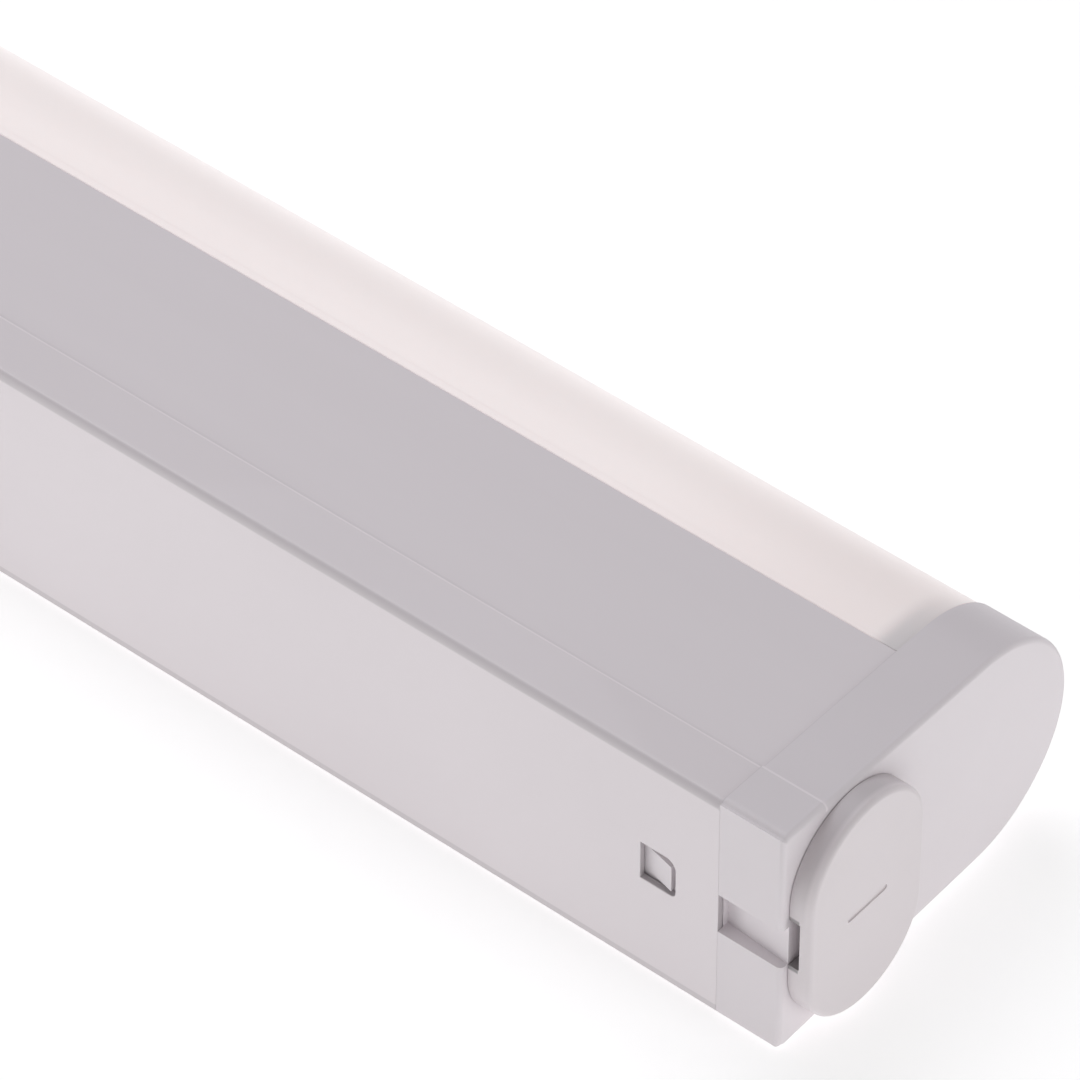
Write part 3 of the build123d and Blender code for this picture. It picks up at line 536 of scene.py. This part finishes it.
# settings of each slot's satin finish
SATINS = {
    "painted_channel": dict(
        colour=WHITE_COAT, roughness=0.42, grain=1500, grain_height=5e-6, cloud=30,
        cloud_depth=0.012, speck_share=0.03, coat=0.1,
        # painted highlight along the flange edge; painted shade round the bend, at the channel's
        # ends and on the punched edges
        tones=((flange_edge_highlight, 1.12), (bend_shade, 0.84), (shell_end_shade, 0.84), (cut_edge_shade, 0.62)),
    ),
    "white_housing": dict(
        colour=BODY_WHITE, roughness=0.40, grain=1400, grain_height=1.5e-6, cloud=120,
        # painted shade just in front of the flanges' edges and at the body's ends
        cloud_depth=0.008, stretch=LENGTHWISE, tones=((step_shade, 0.90), (body_end_shade, 0.84)),
    ),
    "white_cap": dict(
        colour=CAP_WHITE, roughness=0.46, grain=3200, grain_height=4e-6, cloud=70,
        # painted highlight along the cap's step
        cloud_depth=0.01, subsurface=0.05, tones=((flange_edge_highlight, 1.14),),
    ),
    "white_cover": dict(
        colour=COVER_WHITE, roughness=0.44, grain=3200, grain_height=4e-6, cloud=70,
        # painted shade on the upper side wall and on the walls of the pry slot
        cloud_depth=0.01, subsurface=0.05, tones=((cover_wall_shade, 0.85), (pry_slot_shade, 0.45)),
    ),
    "dark_insulator": dict(
        colour=(0.012, 0.012, 0.013), roughness=0.42, grain=2400, grain_height=6e-6,
        cloud=90, cloud_depth=0.1,
    ),
    "contact_metal": dict(
        colour=(0.72, 0.66, 0.50), roughness=0.26, grain=2600, grain_height=2e-6,
        cloud=200, cloud_depth=0.05, stretch=LENGTHWISE, metallic=1.0,
    ),
    "tray_plastic": dict(
        colour=(0.62, 0.60, 0.55), roughness=0.48, grain=2000, grain_height=5e-6,
        cloud=60, cloud_depth=0.03, subsurface=0.1,
    ),
    "led_body": dict(
        colour=(0.86, 0.62, 0.12), roughness=0.35, grain=3000, grain_height=5e-6,
        cloud=300, cloud_depth=0.06, subsurface=0.1,
    ),
    "zinc_screw": dict(
        colour=(0.62, 0.63, 0.66), roughness=0.30, grain=2600, grain_height=3e-6,
        cloud=220, cloud_depth=0.08, metallic=1.0,
    ),
    "green_block": dict(
        colour=(0.020, 0.125, 0.055), roughness=0.38, grain=2200, grain_height=5e-6,
        cloud=90, cloud_depth=0.06,
    ),
    "brown_block": dict(
        colour=(0.055, 0.025, 0.012), roughness=0.36, grain=2200, grain_height=5e-6,
        cloud=90, cloud_depth=0.08,
    ),
    "yellow_block": dict(
        colour=(0.62, 0.40, 0.03), roughness=0.34, grain=2000, grain_height=4e-6,
        cloud=80, cloud_depth=0.04,
    ),
    "black_chip": dict(
        colour=(0.010, 0.010, 0.011), roughness=0.5, grain=3600, grain_height=8e-6,
        cloud=150, cloud_depth=0.15,
    ),
    "capacitor_sleeve": dict(
        colour=(0.012, 0.014, 0.022), roughness=0.24, grain=1600, grain_height=3e-6,
        cloud=120, cloud_depth=0.1, coat=0.3,
    ),
    "ferrite": dict(
        colour=(0.035, 0.033, 0.034), roughness=0.62, grain=2600, grain_height=2e-5,
        cloud=200, cloud_depth=0.15,
    ),
}

# name: colour and depth of the clouding
INSULATIONS = {
    "live_insulation": ((0.110, 0.038, 0.014), 0.05),
    "neutral_insulation": ((0.015, 0.085, 0.34), 0.05),
    "red_insulation": ((0.42, 0.012, 0.010), 0.05),
    "black_insulation": ((0.010, 0.010, 0.010), 0.1),
}
INSULATION_ROUGHNESS = 0.34
INSULATION_GRAIN = 1800
INSULATION_GRAIN_HEIGHT = 3e-6
INSULATION_CLOUD = 90


def finishes():
    """One material for each slot of the record."""
    made = {name: satin(name, **settings) for name, settings in SATINS.items()}
    for name, (colour, cloud_depth) in INSULATIONS.items():
        made[name] = satin(
            name,
            colour,
            INSULATION_ROUGHNESS,
            INSULATION_GRAIN,
            INSULATION_GRAIN_HEIGHT,
            INSULATION_CLOUD,
            cloud_depth,
        )
    made["opal_diffuser"] = opal("opal_diffuser", OPAL_WHITE)
    made["circuit_board"] = tracked_board("circuit_board", MASK_GREEN, TRACK_GREEN)
    made["white_board"] = tracked_board("white_board", MASK_WHITE, TRACK_WHITE)
    made["copper_winding"] = wound_copper("copper_winding", ENAMELLED_COPPER)
    made["earth_insulation"] = striped("earth_insulation", EARTH_GREEN, EARTH_YELLOW)
    return made


# ---------------------------------------------------------------- fine edges on the CAD nodes
def smooth_shading():
    """Geometry nodes that shade every face smooth."""
    group = bpy.data.node_groups.new("smooth_shading", "GeometryNodeTree")
    group.interface.new_socket("Geometry", in_out="INPUT", socket_type="NodeSocketGeometry")
    group.interface.new_socket("Geometry", in_out="OUTPUT", socket_type="NodeSocketGeometry")
    start = group.nodes.new("NodeGroupInput")
    smooth = group.nodes.new("GeometryNodeSetShadeSmooth")
    end = group.nodes.new("NodeGroupOutput")
    group.links.new(start.outputs["Geometry"], smooth.inputs["Geometry"])
    group.links.new(smooth.outputs["Geometry"], end.inputs["Geometry"])
    return group


def fine_edges(node, group, width):
    """Rounds the sharp edges of a CAD node by a fine radius and shades it cleanly."""
    shade = node.modifiers.new("shade", "NODES")
    shade.node_group = group
    weld = node.modifiers.new("weld", "WELD")
    weld.merge_threshold = WELD_DISTANCE
    flat = node.modifiers.new("flat", "DECIMATE")
    flat.decimate_type = "DISSOLVE"
    flat.angle_limit = FLAT_ANGLE
    edge = node.modifiers.new("edge", "BEVEL")
    edge.width = width
    edge.segments = EDGE_SEGMENTS
    edge.limit_method = "ANGLE"
    edge.angle_limit = EDGE_ANGLE
    edge.use_clamp_overlap = True
    edge.harden_normals = False
    normals = node.modifiers.new("normals", "WEIGHTED_NORMAL")
    normals.keep_sharp = False
    normals.weight = NORMAL_WEIGHT


# ---------------------------------------------------------------- studio
def camera():
    azimuth, elevation = math.radians(CAMERA_AZIMUTH), math.radians(CAMERA_ELEVATION)
    back = Vector((
        math.sin(azimuth) * math.cos(elevation),
        -math.cos(azimuth) * math.cos(elevation),
        math.sin(elevation),
    ))
    aim = Vector((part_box("end_cap_outlet")[0].x + AIM_FROM_END, -AIM_DEPTH, 0.0))
    data = bpy.data.cameras.new("camera")
    data.lens = LENS_MM
    data.sensor_width = SENSOR_MM
    data.clip_start = CLIP_START
    obj = bpy.data.objects.new("camera", data)
    bpy.context.collection.objects.link(obj)
    look = (-back).to_track_quat("-Z", "Y").to_matrix().to_4x4()
    roll = Matrix.Rotation(math.radians(CAMERA_ROLL), 4, "Z")
    obj.matrix_world = Matrix.Translation(aim + back * CAMERA_DISTANCE) @ look @ roll
    bpy.context.scene.camera = obj


def area_light(name, size, power, place, target, tint):
    data = bpy.data.lights.new(name, "AREA")
    data.size = size
    data.energy = power
    data.color = tint
    obj = bpy.data.objects.new(name, data)
    bpy.context.collection.objects.link(obj)
    obj.location = place
    aim = Vector(target) - Vector(place)
    obj.rotation_euler = aim.to_track_quat("-Z", "Y").to_euler()


def sky():
    """Even, soft white surround."""
    world = bpy.data.worlds.new("studio")
    bpy.context.scene.world = world
    world.use_nodes = True
    background = world.node_tree.nodes["Background"]
    background.inputs["Color"].default_value = (1, 1, 1, 1)
    background.inputs["Strength"].default_value = SKY


def floor():
    """Plain white floor, faintly clouded, with a glow that keeps it bright."""
    mesh = bpy.data.meshes.new("floor")
    grid = bmesh.new()
    bmesh.ops.create_grid(grid, x_segments=1, y_segments=1, size=FLOOR_SIZE / 2)
    grid.to_mesh(mesh)
    grid.free()
    obj = bpy.data.objects.new("floor", mesh)
    bpy.context.collection.objects.link(obj)
    obj.location.z = cad_box[0][2] - FLOOR_DROP
    material, tree, shader = blank_material("floor")
    broad = noise(tree, coordinates(tree), FLOOR_CLOUD, COARSE_DETAIL)
    pale = (FLOOR_ALBEDO,) * 3
    tone = mixed(tree, broad, scaled(pale, FLOOR_CLOUD_TONE), pale)
    link(tree, tone, shader.inputs["Base Color"])
    shader.inputs["Roughness"].default_value = FLOOR_ROUGHNESS
    shader.inputs["Emission Color"].default_value = (1, 1, 1, 1)
    shader.inputs["Emission Strength"].default_value = FLOOR_GLOW
    obj.data.materials.append(material)


def dress_nodes():
    """Every CAD node takes its slot's finish and gets finely rounded edges."""
    made = finishes()
    group = smooth_shading()
    slots = {part["node"]: part["material_slot"] for part in frame["record"]["subparts"]}
    for name, node in nodes.items():
        node.data.materials.clear()
        node.data.materials.append(made[slots[name]])
        fine_edges(node, group, EDGE_WIDTHS.get(name, EDGE_WIDTH))


dress_nodes()
camera()
for light_name, (size, power, place, target, tint) in LIGHTS.items():
    area_light(light_name, size, power, place, target, tint)
sky()
floor()
bpy.context.scene.view_settings.view_transform = "Standard"
